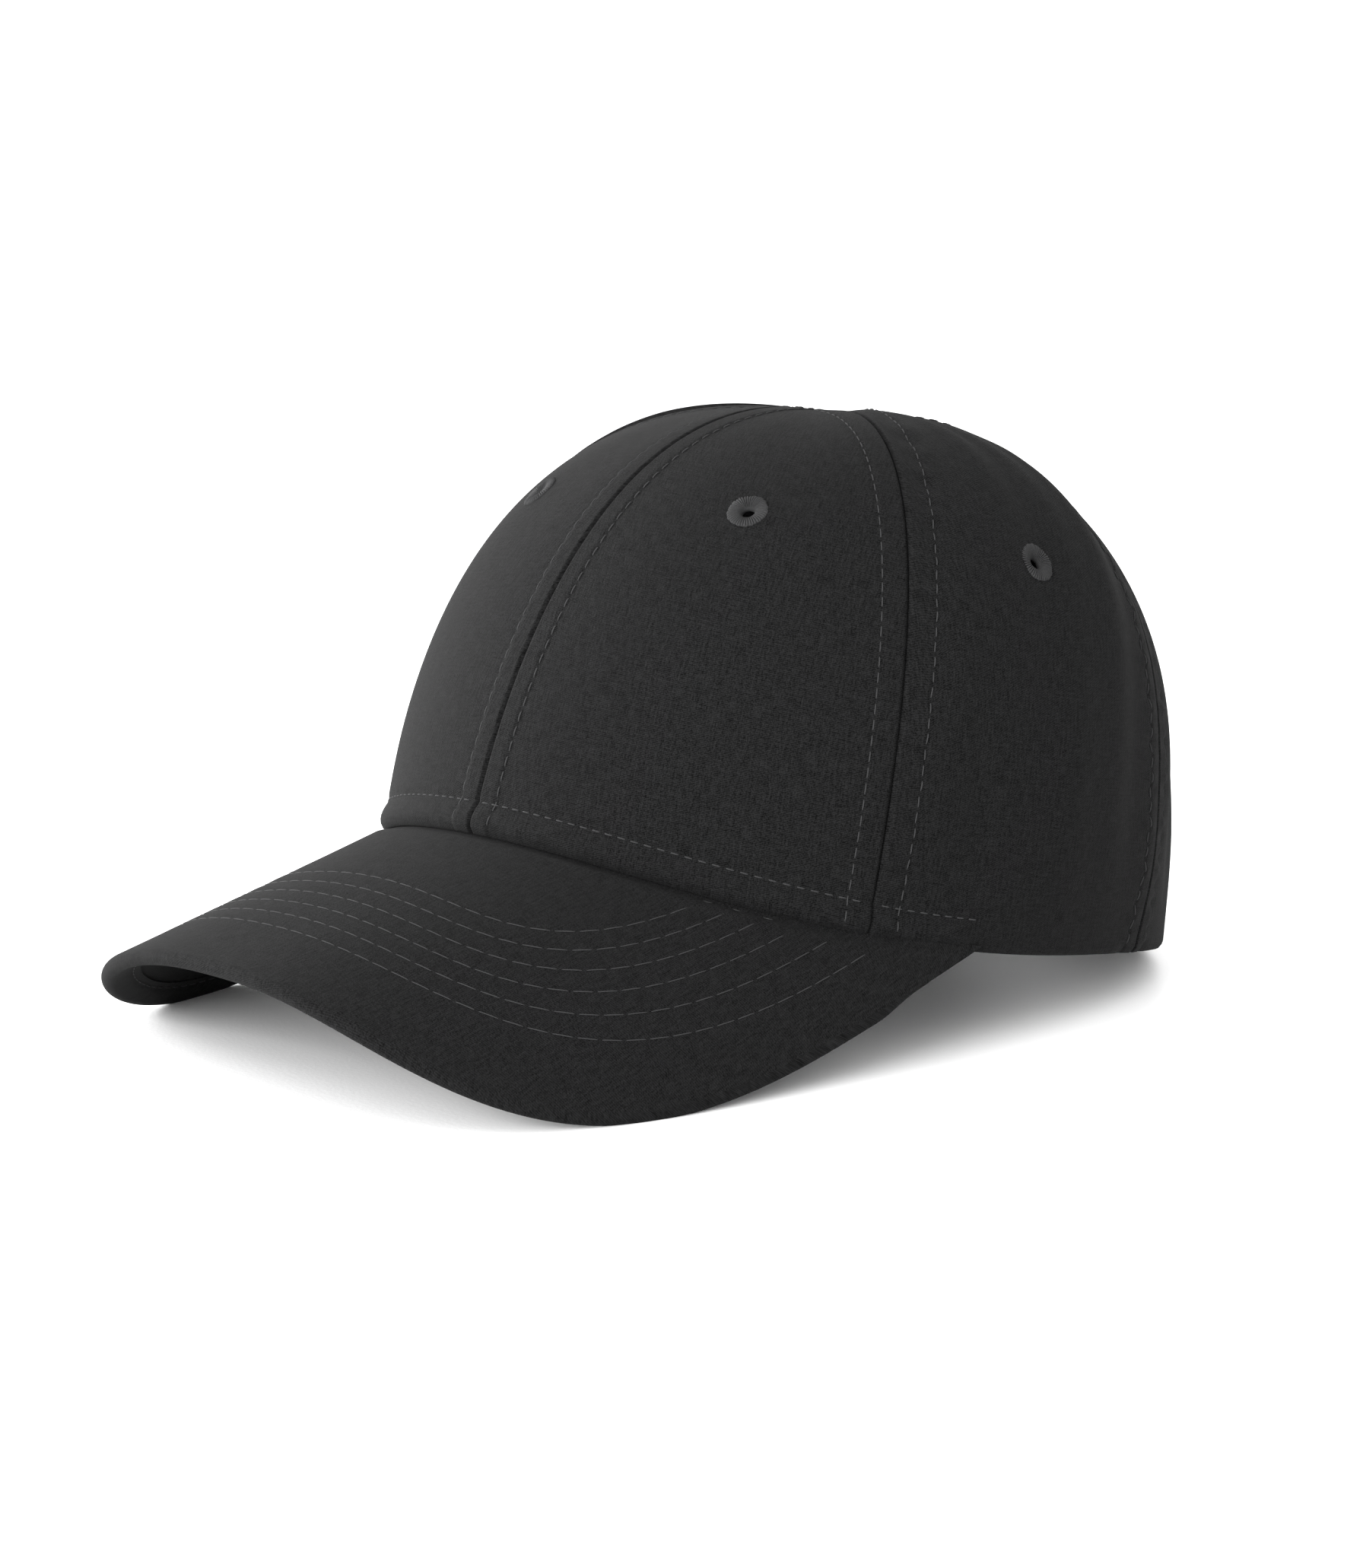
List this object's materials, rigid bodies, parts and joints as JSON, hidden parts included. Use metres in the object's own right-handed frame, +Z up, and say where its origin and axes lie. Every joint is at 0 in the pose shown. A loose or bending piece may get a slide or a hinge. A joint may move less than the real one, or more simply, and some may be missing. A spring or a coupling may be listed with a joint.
{
  "type": "baseball cap",
  "caption": "Structured baseball cap with a curved visor, stitched crown panels, eyelets and a rear strap held by a cam buckle.",
  "frame": {"origin": "bottom centre of the bounding box, on the surface that the cap stands on", "axes": "+Z up, visor towards -Y, the wearer's left towards +X; the cap stands on its visor's side edges and the back of its crown, so its crown is tipped nose-up by 13.1 degrees"},
  "size_m": [0.1806, 0.2706, 0.1367],
  "materials": {
    "crown_cloth": "matte black cotton twill",
    "stitched_thread": "matte embroidery thread",
    "buckram": "stiff open weave, white",
    "seam_tape": "plain weave tape",
    "sweatband_cloth": "matte twill",
    "visor_board": "matte moulded board",
    "strap_cloth": "matte black cotton twill",
    "buckle_metal": "satin antique nickel"
  },
  "bodies": {
    "crown": {"front_left_panel": "crown_cloth", "front_left_eyelet": "stitched_thread", "front_right_panel": "crown_cloth", "front_right_eyelet": "stitched_thread", "side_left_panel": "crown_cloth", "side_left_eyelet": "stitched_thread", "side_right_panel": "crown_cloth", "side_right_eyelet": "stitched_thread", "rear_left_panel": "crown_cloth", "rear_left_eyelet": "stitched_thread", "rear_right_panel": "crown_cloth", "rear_right_eyelet": "stitched_thread", "front_left_stiffener": "buckram", "front_right_stiffener": "buckram", "front_seam_tape": "seam_tape", "front_side_seam_tape_left": "seam_tape", "front_side_seam_tape_right": "seam_tape", "side_rear_seam_tape_left": "seam_tape", "side_rear_seam_tape_right": "seam_tape", "rear_seam_tape": "seam_tape", "rear_arch_binding": "seam_tape", "sweatband": "sweatband_cloth", "visor_board": "visor_board", "visor_under_cover": "crown_cloth", "visor_top_cover": "crown_cloth", "buckle_base": "buckle_metal", "buckle_pin": "buckle_metal", "buckle_tab": "strap_cloth"},
    "strap": {"adjuster_strap": "strap_cloth"},
    "lever": {"buckle_lever": "buckle_metal"}
  },
  "joints": [
    {"name": "strap_slide", "type": "hinge", "parent": "crown", "child": "strap", "pos_m": [0, 0.06644, 0.02735], "axis": [0, 0.2275, 0.9738], "range_deg": [-6, 6]},
    {"name": "lever_hinge", "type": "hinge", "parent": "crown", "child": "lever", "pos_m": [0.01109, 0.13285, 0.01246], "axis": [-0.045, 0.0332, 0.9984], "range_deg": [0, 100]}
  ]
}
